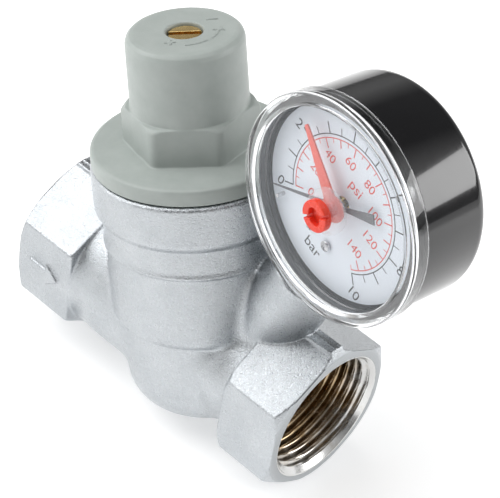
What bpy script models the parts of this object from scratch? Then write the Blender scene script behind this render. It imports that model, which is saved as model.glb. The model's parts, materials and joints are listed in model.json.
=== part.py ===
"""Pressure reducing valve with an inclined bonnet and a pressure gauge.

The body is a forging with a hexagon socket at each end. Water enters at -X and
leaves at +X along the flow axis. The bonnet leans from +Z towards the inlet,
the gauge stem leans towards the outlet, and the dial faces -Y.
The origin is the middle of the flow axis. Lengths below are in millimetres.
"""
import math

import bmesh
import bpy

MM = 0.001

# ---- driving dimensions -------------------------------------------------------
FACE_TO_FACE = 70.5          # inlet face to outlet face
HEX_FLATS = 29.8             # spanner size of the two body hexagons
HEX_LENGTH = 14.0
THREAD_BORE_R = 12.06        # minor radius of a G 3/4 pipe thread
THREAD_DEPTH = 13.0
PORT_CHAMFER_R = 13.5
NECK_R = 13.3
LAND_REACH = 16.95           # trimmed flash land on the top and bottom ridges
LAND_HALF_WIDTH = 1.7

BONNET_LEAN = 14.3           # degrees from +Z towards the inlet
BONNET_SHIFT = 3.25          # where the bonnet axis crosses the flow axis
BODY_TOP = 37.4              # height of the body's top face along the bonnet axis
BAND_R = 19.4
MIDDLE_R = 18.1
LOWER_R = 17.75
BOWL_R = 16.05

UPPER_BORE_R = 16.6          # threaded mouth that takes the bonnet
CAGE_BORE_R = 14.2
LOWER_BORE_R = 12.2

FLANGE_BOTTOM = 37.7
FLANGE_TOP = 40.9
FLANGE_R = 19.35
CAP_HEX_TOP = 48.8
CAP_HEX_APOTHEM = 11.3
CAP_TOP = 63.2
CAP_R = 10.9
SCREW_HOLE_R = 3.4
SCREW_R = 3.1

GAUGE_LEAN = 20.6            # degrees from +Z towards the outlet
GAUGE_SHIFT = 13.93          # where the gauge stem axis crosses the flow axis
GAUGE_RISE = 59.39           # dial centre above the flow axis, along the stem
GAUGE_TWIST = -6.68          # degrees the gauge is turned about its stem
STEM_DEPTH = 11.53           # stem axis behind the lens face
BOSS_TOP = 30.2
BOSS_TOP_R = 7.4
GAUGE_PORT_R = 4.4           # G 1/8 connection
SOCKET_HEX_BOTTOM = 31.0
SOCKET_HEX_TOP = 36.6
SOCKET_NECK_R = 3.9

LENS_R = 20.75
CASE_R = 20.05
CASE_BACK = -18.0
DIAL_FRONT = -4.0
DIAL_THICK = 0.35
DIAL_R = 17.9
FRONT_PLATE = (-5.25, -4.65)
BACK_PLATE = (-10.3, -9.6)
DIAL_SCREWS = ((2.3, -9.8), (-2.3, -9.8))
NEEDLE_Z = -2.9
SETTER_Z = -1.95

PINION_TEETH = 8
SECTOR_TEETH = 56            # teeth of the full wheel that the sector is cut from
GEAR_MODULE = 0.25
SECTOR_PIVOT_ANGLE = -60.0
SECTOR_TRAVEL = 264.8 * PINION_TEETH / SECTOR_TEETH


# ---- scene and materials --------------------------------------------------------
def clear_scene():
    for obj in list(bpy.data.objects):
        bpy.data.objects.remove(obj, do_unlink=True)


def material(name, colour, roughness, metallic=0.0, transmission=0.0):
    mat = bpy.data.materials.new(name)
    mat.use_nodes = True
    shader = mat.node_tree.nodes["Principled BSDF"]
    shader.inputs["Base Color"].default_value = (*colour, 1.0)
    shader.inputs["Roughness"].default_value = roughness
    shader.inputs["Metallic"].default_value = metallic
    shader.inputs["Transmission Weight"].default_value = transmission
    mat.diffuse_color = (*colour, 1.0)
    return mat


def make_materials():
    return {
        "nickel": material("satin_nickel", (0.66, 0.68, 0.70), 0.34, 1.0),
        "brass": material("brass", (0.72, 0.52, 0.22), 0.28, 1.0),
        "steel": material("steel", (0.60, 0.61, 0.62), 0.30, 1.0),
        "grey": material("grey_plastic", (0.40, 0.43, 0.41), 0.42),
        "white": material("white_plastic", (0.80, 0.80, 0.78), 0.40),
        "black": material("black_case", (0.012, 0.012, 0.013), 0.16),
        "clear": material("clear_plastic", (0.90, 0.93, 0.95), 0.05, 0.0, 0.9),
        "dial": material("dial_white", (0.78, 0.82, 0.88), 0.45),
        "red": material("red_plastic", (0.80, 0.05, 0.02), 0.30),
        "rubber": material("rubber", (0.02, 0.02, 0.02), 0.70),
        "needle": material("needle_grey", (0.20, 0.20, 0.21), 0.40),
    }


# ---- mesh tools -------------------------------------------------------------------
def finish_mesh(name, bm, smooth_angle=32.0):
    """Turn a bmesh in millimetres into a mesh in metres with outward faces."""
    bmesh.ops.recalc_face_normals(bm, faces=bm.faces)
    bmesh.ops.scale(bm, vec=(MM, MM, MM), verts=bm.verts)
    mesh = bpy.data.meshes.new(name)
    bm.to_mesh(mesh)
    bm.free()
    mesh.shade_smooth()
    mesh.set_sharp_from_angle(angle=math.radians(smooth_angle))
    return mesh


def lathe(name, profile, steps=48):
    """Revolve (radius, height) points about Z.

    A profile that starts and ends on the axis makes a solid, and one with
    no point on the axis is closed into a ring.
    """
    bm = bmesh.new()
    rings = []
    for radius, height in profile:
        if radius == 0.0:
            rings.append([bm.verts.new((0.0, 0.0, height))])
            continue
        ring = []
        for k in range(steps):
            turn = 2.0 * math.pi * k / steps
            ring.append(bm.verts.new((radius * math.cos(turn), radius * math.sin(turn), height)))
        rings.append(ring)
    pairs = list(zip(rings, rings[1:]))
    if len(rings[0]) > 1:
        pairs.append((rings[-1], rings[0]))
    for lower, upper in pairs:
        for k in range(steps):
            nxt = (k + 1) % steps
            if len(lower) == 1 and len(upper) == 1:
                continue
            if len(lower) == 1:
                bm.faces.new((lower[0], upper[k], upper[nxt]))
            elif len(upper) == 1:
                bm.faces.new((lower[k], lower[nxt], upper[0]))
            else:
                bm.faces.new((lower[k], lower[nxt], upper[nxt], upper[k]))
    return finish_mesh(name, bm)


def prism(name, outline, low, high):
    """Extrude a closed XY outline from height low to height high."""
    bm = bmesh.new()
    bottom = [bm.verts.new((x, y, low)) for x, y in outline]
    top = [bm.verts.new((x, y, high)) for x, y in outline]
    bm.faces.new(list(reversed(bottom)))
    bm.faces.new(top)
    count = len(outline)
    for k in range(count):
        nxt = (k + 1) % count
        bm.faces.new((bottom[k], bottom[nxt], top[nxt], top[k]))
    return finish_mesh(name, bm)


def box(name, low, high):
    outline = [(low[0], low[1]), (high[0], low[1]), (high[0], high[1]), (low[0], high[1])]
    return prism(name, outline, low[2], high[2])


def rod(name, radius, low, high, steps=24):
    return lathe(name, [(0.0, low), (radius, low), (radius, high), (0.0, high)], steps)


def polar(radius, degrees):
    turn = math.radians(degrees)
    return (radius * math.cos(turn), radius * math.sin(turn))


def arc(radius, start, end, count, centre=(0.0, 0.0)):
    points = []
    for k in range(count):
        x, y = polar(radius, start + (end - start) * k / (count - 1))
        points.append((centre[0] + x, centre[1] + y))
    return points


def hexagon(apothem, corner_r=0.0, turn=0.0, corner_steps=5):
    """Hexagon outline, its flats at the given apothem and its corners rounded."""
    points = []
    reach = (apothem - corner_r) / math.cos(math.radians(30.0))
    for k in range(6):
        angle = turn + 60.0 * k
        centre = polar(reach, angle)
        if corner_r == 0.0:
            points.append(centre)
        else:
            points += arc(corner_r, angle - 30.0, angle + 30.0, corner_steps, centre)
    return points


def torus_profile(radius, height, tube, count=8):
    return [(radius + tube * math.cos(2.0 * math.pi * k / count),
             height + tube * math.sin(2.0 * math.pi * k / count)) for k in range(count)]


def sweep(name, path, tube_u, tube_v, closed_caps=True, sides=8):
    """Sweep an elliptic section along a path of (point, side, up) frames."""
    bm = bmesh.new()
    rings = []
    for point, side, up in path:
        ring = []
        for k in range(sides):
            turn = 2.0 * math.pi * (k + 0.5) / sides
            u = tube_u * math.cos(turn)
            v = tube_v * math.sin(turn)
            ring.append(bm.verts.new([point[i] + side[i] * u + up[i] * v for i in range(3)]))
        rings.append(ring)
    for first, second in zip(rings, rings[1:]):
        for k in range(sides):
            nxt = (k + 1) % sides
            bm.faces.new((first[k], first[nxt], second[nxt], second[k]))
    if closed_caps:
        bm.faces.new(list(reversed(rings[0])))
        bm.faces.new(rings[-1])
    return finish_mesh(name, bm)


# ---- objects ----------------------------------------------------------------------
def frame_empty(name, location=(0.0, 0.0, 0.0), degrees=(0.0, 0.0, 0.0), parent=None):
    empty = bpy.data.objects.new(name, None)
    bpy.context.collection.objects.link(empty)
    empty.parent = parent
    empty.location = [c * MM for c in location]
    empty.rotation_euler = [math.radians(d) for d in degrees]
    return empty


def piece(name, mesh, mat, parent, location=(0.0, 0.0, 0.0), degrees=(0.0, 0.0, 0.0)):
    obj = bpy.data.objects.new(name, mesh)
    bpy.context.collection.objects.link(obj)
    obj.parent = parent
    obj.location = [c * MM for c in location]
    obj.rotation_euler = [math.radians(d) for d in degrees]
    mesh.materials.append(mat)
    return obj


def tool(mesh, parent, location=(0.0, 0.0, 0.0), degrees=(0.0, 0.0, 0.0)):
    """A hidden shape that a Boolean adds to or takes from a piece."""
    obj = bpy.data.objects.new(mesh.name, mesh)
    bpy.context.collection.objects.link(obj)
    obj.parent = parent
    obj.location = [c * MM for c in location]
    obj.rotation_euler = [math.radians(d) for d in degrees]
    obj.hide_render = True
    obj.display_type = "WIRE"
    return obj


def boolean(obj, other, operation):
    mod = obj.modifiers.new(f"{operation.lower()}_{other.name}", "BOOLEAN")
    mod.operation = operation
    mod.solver = "EXACT"
    mod.object = other


def add(obj, other):
    boolean(obj, other, "UNION")


def cut(obj, other):
    boolean(obj, other, "DIFFERENCE")


# ---- valve body -------------------------------------------------------------------
def bowl_profile():
    """Rounded bottom of the body: a quarter arc from the flat base to the wall."""
    corner = 9.5
    base_r = BOWL_R - corner
    centre_h = -7.0
    points = [(0.0, centre_h - corner)]
    for k in range(9):
        turn = math.radians(-90.0 + 90.0 * k / 8)
        points.append((base_r + corner * math.cos(turn), centre_h + corner * math.sin(turn)))
    return points


def mirrored(profile, side):
    """The profile for the outlet end, or its mirror image for the inlet end."""
    return [(radius, side * height) for radius, height in profile]


def end_hexagon(name, side, half, apothem, flow):
    """One end's hexagon, with turned corners and a raised land along two ridges."""
    inner = half - HEX_LENGTH
    low, high = sorted((side * inner, side * half))
    hex_tool = tool(prism(f"{name}_hexagon", hexagon(apothem, 0.6, 0.0, 3), low, high), flow)
    land = box(f"{name}_ridge_land", (-LAND_REACH, -LAND_HALF_WIDTH, low + 0.2),
               (LAND_REACH, LAND_HALF_WIDTH, high - 0.2))
    add(hex_tool, tool(land, flow))
    rounding = lathe(f"{name}_rounding", mirrored([
        (0.0, inner - 1.0), (apothem + 9.0, inner - 1.0), (apothem + 9.0, half - 5.2),
        (apothem - 1.6, half + 1.0), (0.0, half + 1.0)], side), 48)
    mod = hex_tool.modifiers.new("turned_corners", "BOOLEAN")
    mod.operation = "INTERSECT"
    mod.solver = "EXACT"
    mod.object = tool(rounding, flow)
    return hex_tool


def make_valve_body(mats, flow, bonnet, stem):
    trunk = bowl_profile() + [
        (BOWL_R + 0.1, 5.2), (LOWER_R - 0.5, 5.9), (LOWER_R, 6.9), (LOWER_R, 21.3),
        (MIDDLE_R + 0.3, 21.7), (MIDDLE_R, 22.6), (MIDDLE_R, 27.4), (BAND_R - 0.3, 28.6),
        (BAND_R, 29.2), (BAND_R, BODY_TOP - 0.5), (BAND_R - 0.5, BODY_TOP), (0.0, BODY_TOP),
    ]
    body = piece("valve_body", lathe("valve_body", trunk, 52), mats["nickel"], bonnet)
    half = FACE_TO_FACE / 2.0
    apothem = HEX_FLATS / 2.0
    neck = rod("neck_core", NECK_R, -half + 6.0, half - 6.0, 40)
    add(body, tool(neck, flow))
    for side, name in ((-1.0, "inlet"), (1.0, "outlet")):
        add(body, end_hexagon(name, side, half, apothem, flow))
    boss = lathe("gauge_boss", [(0.0, 4.0), (6.6, 4.0), (6.9, 12.0), (7.2, 18.0),
                                (BOSS_TOP_R, 22.0), (BOSS_TOP_R, BOSS_TOP), (0.0, BOSS_TOP)], 36)
    add(body, tool(boss, stem))
    port = [(0.0, half - THREAD_DEPTH), (THREAD_BORE_R, half - THREAD_DEPTH),
            (THREAD_BORE_R, half - PORT_CHAMFER_R + THREAD_BORE_R),
            (PORT_CHAMFER_R + 1.0, half + 1.0), (0.0, half + 1.0)]
    for side, name in ((-1.0, "inlet"), (1.0, "outlet")):
        cut(body, tool(lathe(f"{name}_port", mirrored(port, side), 48), flow))
    cut(body, tool(rod("gauge_port", GAUGE_PORT_R, 14.6, BOSS_TOP + 2.0, 32), stem))
    cut(body, tool(lathe("cartridge_bore", [
        (0.0, -12.5), (LOWER_BORE_R - 1.5, -12.5), (LOWER_BORE_R, -11.0), (LOWER_BORE_R, 10.2),
        (CAGE_BORE_R, 10.2), (CAGE_BORE_R, 30.5), (UPPER_BORE_R, 30.5),
        (UPPER_BORE_R, BODY_TOP + 2.0), (0.0, BODY_TOP + 2.0)], 48), bonnet, degrees=(0.0, 0.0, 3.1)))
    cut(body, tool(rod("inlet_passage", 7.5, -half + THREAD_DEPTH - 1.0, -5.0, 28), flow,
             degrees=(0.0, 0.0, 4.3)))
    rising = frame_empty("outlet_passage_axis", (9.5, 0.0, 16.5), (0.0, 135.0, 0.0))
    cut(body, tool(rod("outlet_passage", 4.6, -1.0, 18.5, 28), rising))
    return body


# ---- bonnet and spring --------------------------------------------------------------
def make_bonnet(mats, bonnet):
    shell = [
        (SCREW_HOLE_R, 57.0), (SCREW_HOLE_R, CAP_TOP), (CAP_R - 1.8, CAP_TOP),
        (CAP_R - 0.9, CAP_TOP - 0.24), (CAP_R - 0.24, CAP_TOP - 0.9), (CAP_R, CAP_TOP - 1.8),
        (CAP_R + 0.15, 43.0), (CAP_R + 0.15, FLANGE_TOP), (FLANGE_R - 0.8, FLANGE_TOP),
        (FLANGE_R, FLANGE_TOP - 0.8), (FLANGE_R, FLANGE_BOTTOM), (16.3, FLANGE_BOTTOM),
        (16.3, 33.7), (13.2, 33.7), (13.2, 39.0), (9.3, 41.5), (9.3, 55.0), (7.5, 57.0),
    ]
    obj = piece("bonnet", lathe("bonnet", shell, 48), mats["grey"], bonnet)
    spanner = prism("bonnet_hexagon", hexagon(CAP_HEX_APOTHEM, 2.0, 40.6), FLANGE_TOP - 0.4,
                    CAP_HEX_TOP)
    cut_round = lathe("hexagon_rounding", [
        (0.0, FLANGE_TOP - 1.0), (16.0, FLANGE_TOP - 1.0), (16.0, CAP_HEX_TOP - 2.6),
        (CAP_HEX_APOTHEM, CAP_HEX_TOP), (0.0, CAP_HEX_TOP)], 48)
    hex_tool = tool(spanner, bonnet)
    mod = hex_tool.modifiers.new("rounded_top", "BOOLEAN")
    mod.operation = "INTERSECT"
    mod.solver = "EXACT"
    mod.object = tool(cut_round, bonnet)
    cut(hex_tool, tool(rod("spring_room", 10.0, FLANGE_TOP - 2.0, CAP_HEX_TOP + 2.0, 40), bonnet))
    add(obj, hex_tool)
    return obj


def make_adjusting_screw(mats, bonnet):
    screw = piece("adjusting_screw",
                  lathe("adjusting_screw", [(0.0, 0.0), (1.6, 0.0), (SCREW_R, 1.2),
                                            (SCREW_R, 7.4), (SCREW_R - 0.3, 7.7), (0.0, 7.7)], 32),
                  mats["brass"], bonnet, (0.0, 0.0, 55.0))
    slot = box("screw_slot", (-4.0, -0.6, 6.2), (4.0, 0.6, 9.0))
    cut(screw, tool(slot, bonnet, (0.0, 0.0, 55.0), (0.0, 0.0, 8.0)))


def helix_path(radius, low, high, turns, steps_per_turn=14):
    """Frames along a coil whose first and last turns lie nearly flat."""
    frames = []
    count = int(turns * steps_per_turn)
    for k in range(count + 1):
        share = k / count
        turn = 2.0 * math.pi * turns * share
        rise = min(1.0, max(0.0, (share * turns - 0.75) / (turns - 1.5)))
        height = low + (high - low) * rise + 0.35 * (share - rise)
        outward = (math.cos(turn), math.sin(turn), 0.0)
        point = (radius * outward[0], radius * outward[1], height)
        frames.append((point, outward, (0.0, 0.0, 1.0)))
    return frames


def make_spring_pack(mats, bonnet):
    piece("spring_plate", lathe("spring_plate", [
        (0.0, 52.9), (5.6, 52.9), (5.6, 51.6), (6.0, 51.6), (6.0, 52.9), (8.8, 52.9),
        (8.8, 54.1), (4.4, 54.1), (4.0, 54.6), (0.0, 54.6)], 28), mats["steel"], bonnet)
    coil = helix_path(7.4, 36.65, 51.45, 5.5)
    piece("main_spring", sweep("main_spring", coil, 1.1, 1.1), mats["steel"], bonnet)
    piece("slip_ring", lathe("slip_ring", [(13.5, 32.6), (16.2, 32.6), (16.2, 33.3), (13.5, 33.3)],
                             36), mats["brass"], bonnet)
    piece("diaphragm", lathe("diaphragm", [
        (2.3, 32.0), (9.4, 32.0), (10.4, 31.2), (12.2, 31.2), (13.2, 30.8), (16.3, 30.8),
        (16.3, 32.3), (13.2, 32.3), (12.2, 32.4), (10.4, 32.6), (9.4, 33.2), (2.3, 33.2)], 32),
          mats["rubber"], bonnet)


# ---- moving valve core ----------------------------------------------------------------
def make_valve_core(mats, bonnet):
    piece("valve_stem", lathe("valve_stem", [
        (0.0, -6.6), (2.0, -6.6), (2.0, 0.3), (3.2, 0.3), (3.2, 1.5), (2.4, 2.0), (2.4, 19.5),
        (2.9, 20.0), (2.9, 30.2), (2.0, 30.2), (2.0, 38.2), (0.0, 38.2)], 24),
          mats["brass"], bonnet)
    piece("lower_diaphragm_plate", lathe("lower_diaphragm_plate", [
        (2.3, 30.5), (8.6, 30.5), (9.0, 30.9), (9.0, 31.7), (2.3, 31.7)], 28),
          mats["brass"], bonnet)
    piece("upper_diaphragm_plate", lathe("upper_diaphragm_plate", [
        (2.3, 33.5), (9.0, 33.5), (9.4, 33.9), (9.4, 35.2), (6.0, 35.2), (6.0, 36.4),
        (5.4, 36.4), (5.4, 35.2), (2.3, 35.2)], 28), mats["steel"], bonnet)
    hex_nut(mats["brass"], "stem_top_nut", 3.6, 2.3, 35.5, 37.7, bonnet)
    piece("seal_disc", lathe("seal_disc", [(2.3, -1.4), (7.3, -1.4), (7.3, 0.0), (2.3, 0.0)], 28),
          mats["rubber"], bonnet)
    piece("seal_holder", lathe("seal_holder", [
        (2.3, -3.4), (7.6, -3.4), (8.2, -2.8), (8.2, -0.6), (7.6, -0.6), (7.6, -1.7),
        (2.3, -1.7)], 28), mats["brass"], bonnet)
    hex_nut(mats["brass"], "stem_bottom_nut", 3.4, 2.3, -6.2, -3.7, bonnet)


def hex_nut(mat, name, apothem, hole_r, low, high, parent):
    nut = piece(name, prism(name, hexagon(apothem), low, high), mat, parent)
    cut(nut, tool(rod(f"{name}_hole", hole_r, low - 1.0, high + 1.0, 20), parent))


# ---- cartridge -------------------------------------------------------------------------
def make_cartridge(mats, bonnet):
    cage = piece("seat_cage", lathe("seat_cage", [
        (6.0, 2.3), (6.9, 2.3), (7.4, 3.2), (11.9, 3.2), (11.9, 5.2), (10.3, 5.2), (10.3, 7.2),
        (11.9, 7.2), (11.9, 10.5), (13.9, 10.5), (13.9, 24.4), (12.4, 24.4), (12.4, 26.2),
        (13.9, 26.2), (13.9, 30.2), (3.2, 30.2), (3.2, 28.2), (11.2, 28.2), (11.2, 12.0),
        (6.0, 12.0)], 36), mats["white"], bonnet)
    for k in range(4):
        window = box(f"cage_window_{k}", (7.0, -4.6, 13.2), (16.0, 4.6, 22.6))
        cut(cage, tool(window, bonnet, degrees=(0.0, 0.0, 90.0 * k)))
    vent = rod("equalising_hole", 0.9, 27.0, 31.0, 12)
    cut(cage, tool(vent, bonnet, (7.0, 0.0, 0.0)))
    for name, radius, height, tube in (("lower_cage_seal", 11.22, 6.2, 0.78),
                                       ("upper_cage_seal", 13.3, 25.3, 0.76)):
        piece(name, lathe(name, torus_profile(radius, height, tube), 30), mats["rubber"], bonnet)
    strainer = piece("strainer", lathe("strainer", [
        (9.0, -12.1), (9.6, -12.1), (9.6, 2.8), (9.0, 2.8)], 32), mats["steel"], bonnet)
    for k in range(8):
        slot = box(f"strainer_slot_{k}", (8.0, -1.2, -9.5), (10.6, 1.2, 0.5))
        cut(strainer, tool(slot, bonnet, degrees=(0.0, 0.0, 45.0 * k + 22.5)))


# ---- gauge case and dial -----------------------------------------------------------------
def make_gauge_socket(mats, stem, gauge):
    block_bottom = -17.4
    socket = piece("gauge_socket", lathe("gauge_socket", [
        (0.0, 15.8), (3.6, 15.8), (4.1, 16.3), (4.1, SOCKET_HEX_BOTTOM + 0.3),
        (SOCKET_NECK_R, SOCKET_HEX_BOTTOM + 0.6), (SOCKET_NECK_R, GAUGE_RISE + block_bottom + 0.4),
        (0.0, GAUGE_RISE + block_bottom + 0.4)], 32), mats["brass"], stem)
    spanner = prism("socket_hexagon", hexagon(7.0, 0.3, 0.0, 3), SOCKET_HEX_BOTTOM, SOCKET_HEX_TOP)
    add(socket, tool(spanner, stem))
    block = box("tube_block", (-4.4, block_bottom, -STEM_DEPTH - 2.7),
                (4.4, -11.4, -STEM_DEPTH + 2.7))
    add(socket, tool(block, gauge))
    cut(socket, tool(rod("pressure_bore", 1.2, 14.0, GAUGE_RISE - 15.0, 16), stem))
    piece("stem_seal", lathe("stem_seal", [
        (4.6, BOSS_TOP + 0.25), (6.6, BOSS_TOP + 0.25), (6.6, SOCKET_HEX_BOTTOM - 0.25),
        (4.6, SOCKET_HEX_BOTTOM - 0.25)], 32), mats["rubber"], stem)


def make_gauge_case(mats, stem, gauge):
    round_r = 2.2
    outer = [(CASE_R - round_r + round_r * math.cos(math.radians(t)),
              CASE_BACK + round_r + round_r * math.sin(math.radians(t)))
             for t in (-90.0, -60.0, -30.0, 0.0)]
    profile = [(0.0, CASE_BACK)] + outer + [
        (CASE_R, -4.0), (CASE_R - 0.35, -4.0), (CASE_R - 0.35, -1.9), (CASE_R - 1.35, -1.9),
        (CASE_R - 1.35, -3.0), (CASE_R - 1.55, -3.2), (CASE_R - 1.55, CASE_BACK + 2.2),
        (CASE_R - 2.35, CASE_BACK + 1.3), (0.0, CASE_BACK + 1.3)]
    case = piece("gauge_case", lathe("gauge_case", profile, 48), mats["black"], gauge)
    cut(case, tool(rod("stem_notch", 4.15, GAUGE_RISE - 22.5, GAUGE_RISE - 16.0, 24), stem))
    vent = rod("case_vent", 0.9, CASE_R - 3.0, CASE_R + 2.0, 12)
    cut(case, tool(vent, gauge, (0.0, 0.0, -4.6), (-90.0, 0.0, 0.0)))


def make_gauge_lens(mats, gauge):
    piece("gauge_lens", lathe("gauge_lens", [
        (1.6, -1.0), (1.6, 0.9), (3.6, 0.9), (4.1, 0.5), (4.1, -0.3), (18.3, -0.3), (18.9, 0.0),
        (LENS_R - 0.5, 0.0), (LENS_R, -0.5), (LENS_R, -3.6), (LENS_R - 0.7, -3.6),
        (LENS_R - 0.7, -1.5), (18.5, -1.5), (18.5, -1.0)], 48), mats["clear"], gauge)


def make_dial(mats, gauge):
    dial = piece("gauge_dial", lathe("gauge_dial", [
        (1.5, DIAL_FRONT - DIAL_THICK), (DIAL_R, DIAL_FRONT - DIAL_THICK), (DIAL_R, DIAL_FRONT),
        (1.5, DIAL_FRONT)], 48), mats["dial"], gauge)
    for name, (x, y) in zip(("dial_screw_right", "dial_screw_left"), DIAL_SCREWS):
        cut(dial, tool(rod(f"{name}_hole", 0.75, DIAL_FRONT - 2.0, DIAL_FRONT + 2.0, 12), gauge,
                       (x, y, 0.0)))
        screw = lathe(name, [(0.0, FRONT_PLATE[0]), (0.45, FRONT_PLATE[0]),
                             (0.45, DIAL_FRONT + 0.25), (1.0, DIAL_FRONT + 0.25),
                             (1.0, DIAL_FRONT + 0.45), (0.7, DIAL_FRONT + 0.75),
                             (0.0, DIAL_FRONT + 0.85)], 20)
        piece(name, screw, mats["steel"], gauge, (x, y, 0.0))
    x, y = polar(15.2, -131.5)
    cut(dial, tool(rod("stop_pin_hole", 0.65, DIAL_FRONT - 2.0, DIAL_FRONT + 2.0, 12), gauge,
                   (x, y, 0.0)))
    piece("stop_pin", rod("stop_pin", 0.38, DIAL_FRONT - 0.8, -2.3, 12), mats["steel"], gauge,
          (x, y, 0.0))


# ---- gauge movement ---------------------------------------------------------------------
def gear_teeth(teeth, first, last, pitch_r, centre_angle):
    """Outline points of teeth first..last, tooth 0 pointing at centre_angle."""
    step = 360.0 / teeth
    tip_r = pitch_r + 0.8 * GEAR_MODULE
    root_r = pitch_r - 1.15 * GEAR_MODULE
    points = []
    for k in range(first, last + 1):
        middle = centre_angle + k * step
        for radius, share in ((root_r, -0.29), (pitch_r, -0.2), (tip_r, -0.09),
                              (tip_r, 0.09), (pitch_r, 0.2), (root_r, 0.29)):
            points.append(polar(radius, middle + share * step))
    return points


def make_movement(mats, gauge):
    pinion_r = PINION_TEETH * GEAR_MODULE / 2.0
    sector_r = SECTOR_TEETH * GEAR_MODULE / 2.0
    pivot = polar(pinion_r + sector_r, SECTOR_PIVOT_ANGLE)
    to_pinion = SECTOR_PIVOT_ANGLE + 180.0

    plate_centre = (1.2, -1.5)
    frame = piece("movement_frame", rod("movement_frame", 9.5, *FRONT_PLATE, 40), mats["brass"],
                  gauge, (*plate_centre, 0.0))
    add(frame, tool(rod("back_plate", 9.5, *BACK_PLATE, 40), gauge, (*plate_centre, 0.0)))
    for k, (x, y) in enumerate(((-5.6, -3.4), (-2.0, 5.6), (8.6, 1.0))):
        add(frame, tool(rod(f"plate_post_{k}", 0.8, -10.0, -4.9, 16), gauge, (x, y, 0.0)))
    holes = [(0.0, 0.0), pivot] + list(DIAL_SCREWS)
    for k, (x, y) in enumerate(holes):
        hole = rod(f"plate_hole_{k}", 0.8, -11.0, -4.0, 16)
        cut(frame, tool(hole, gauge, (x, y, 0.0)))

    pinion = piece("pinion_arbor", rod("pinion_arbor", 0.5, -10.8, NEEDLE_Z + 0.9, 16),
                   mats["steel"], gauge)
    teeth = gear_teeth(PINION_TEETH, 0, PINION_TEETH - 1, pinion_r,
                       SECTOR_PIVOT_ANGLE + 180.0 / PINION_TEETH)
    add(pinion, tool(prism("pinion_teeth", teeth, -8.1, -7.1), gauge))

    half_count = 4
    start = -SECTOR_TRAVEL / 2.0
    shift = round(start / (360.0 / SECTOR_TEETH))
    first = shift - half_count
    last = shift + half_count
    outline = gear_teeth(SECTOR_TEETH, first, last, sector_r, to_pinion)
    step = 360.0 / SECTOR_TEETH
    outline += [polar(1.6, to_pinion + (last + 1) * step + 20.0)]
    outline += arc(1.6, to_pinion + (last + 1) * step + 60.0, 330.0, 5)
    outline += [(3.3, -1.25), (4.55, -1.1), (4.55, -0.3), (3.2, 0.2), (1.5, 0.5)]
    outline += [polar(1.6, to_pinion + (first - 1) * step - 20.0)]
    sector = piece("sector_gear", prism("sector_gear", outline, -8.0, -7.2), mats["brass"],
                   gauge, (*pivot, 0.0))
    add(sector, tool(rod("sector_shaft", 0.5, -10.8, -4.75, 16), gauge, (*pivot, 0.0)))

    tail = (pivot[0] + 3.95, pivot[1] - 0.7)
    tip = polar(13.3, -12.0)
    reach = math.hypot(tip[0] - tail[0], tip[1] - tail[1])
    aim = math.degrees(math.atan2(tip[1] - tail[1], tip[0] - tail[0]))
    link_outline = arc(0.75, 90.0, 270.0, 6) + arc(0.75, -90.0, 90.0, 6, (reach - 1.2, 0.0))
    piece("tip_link", prism("tip_link", link_outline, -9.0, -8.4), mats["steel"], gauge,
          (*tail, 0.0), (0.0, 0.0, aim))

    path = []
    for k in range(33):
        angle = 247.0 - 259.0 * k / 32
        x, y = polar(1.0, angle)
        path.append(((13.3 * x, 13.3 * y, -11.2), (x, y, 0.0), (0.0, 0.0, 1.0)))
    piece("bourdon_tube", sweep("bourdon_tube", path, 0.75, 1.6), mats["brass"], gauge)

    spiral = []
    for k in range(61):
        share = k / 60
        x, y = polar(1.0, 360.0 * 3.0 * share)
        radius = 1.3 + 2.4 * share
        spiral.append(((radius * x, radius * y, -6.4), (x, y, 0.0), (0.0, 0.0, 1.0)))
    piece("hairspring", sweep("hairspring", spiral, 0.09, 0.25, True, 4), mats["brass"], gauge)


def make_pointers(mats, gauge):
    zero = 90.0 + 131.3      # the scale's zero, 131.3 degrees to the left of dial up
    blade = [(-8.8, -0.95), (-8.8, 0.95), (-1.2, 0.45), (1.2, 0.6), (16.4, 0.12),
             (16.4, -0.12), (1.2, -0.6), (-1.2, -0.45)]
    needle = piece("gauge_needle", prism("gauge_needle", list(reversed(blade)), NEEDLE_Z,
                                         NEEDLE_Z + 0.25), mats["needle"], gauge,
                   degrees=(0.0, 0.0, zero))
    add(needle, tool(rod("needle_hub", 1.5, NEEDLE_Z - 0.1, NEEDLE_Z + 0.6, 20), gauge))
    cut(needle, tool(rod("needle_hole", 0.8, NEEDLE_Z - 2.0, NEEDLE_Z + 2.0, 16), gauge))

    set_angle = 90.0 + 62.2
    arm = [(0.0, -1.5), (14.8, -0.45), (14.8, 0.45), (0.0, 1.5)]
    setter = piece("set_pointer", prism("set_pointer", arm, SETTER_Z, SETTER_Z + 0.35),
                   mats["red"], gauge, degrees=(0.0, 0.0, set_angle))
    add(setter, tool(rod("set_pointer_hub", 2.6, SETTER_Z, SETTER_Z + 0.35, 24), gauge))
    cut(setter, tool(rod("set_pointer_hole", 1.5, -3.0, 0.0, 20), gauge))
    knob = piece("set_knob", lathe("set_knob", [
        (0.0, -1.8), (1.2, -1.8), (1.2, 1.2), (2.9, 1.2), (2.9, 2.3), (2.6, 2.6), (0.0, 2.6)], 32),
        mats["red"], gauge, degrees=(0.0, 0.0, set_angle))
    cut(knob, tool(box("knob_slot", (-4.0, -0.4, 1.7), (4.0, 0.4, 4.0)), gauge,
                   degrees=(0.0, 0.0, set_angle - 35.0)))


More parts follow.
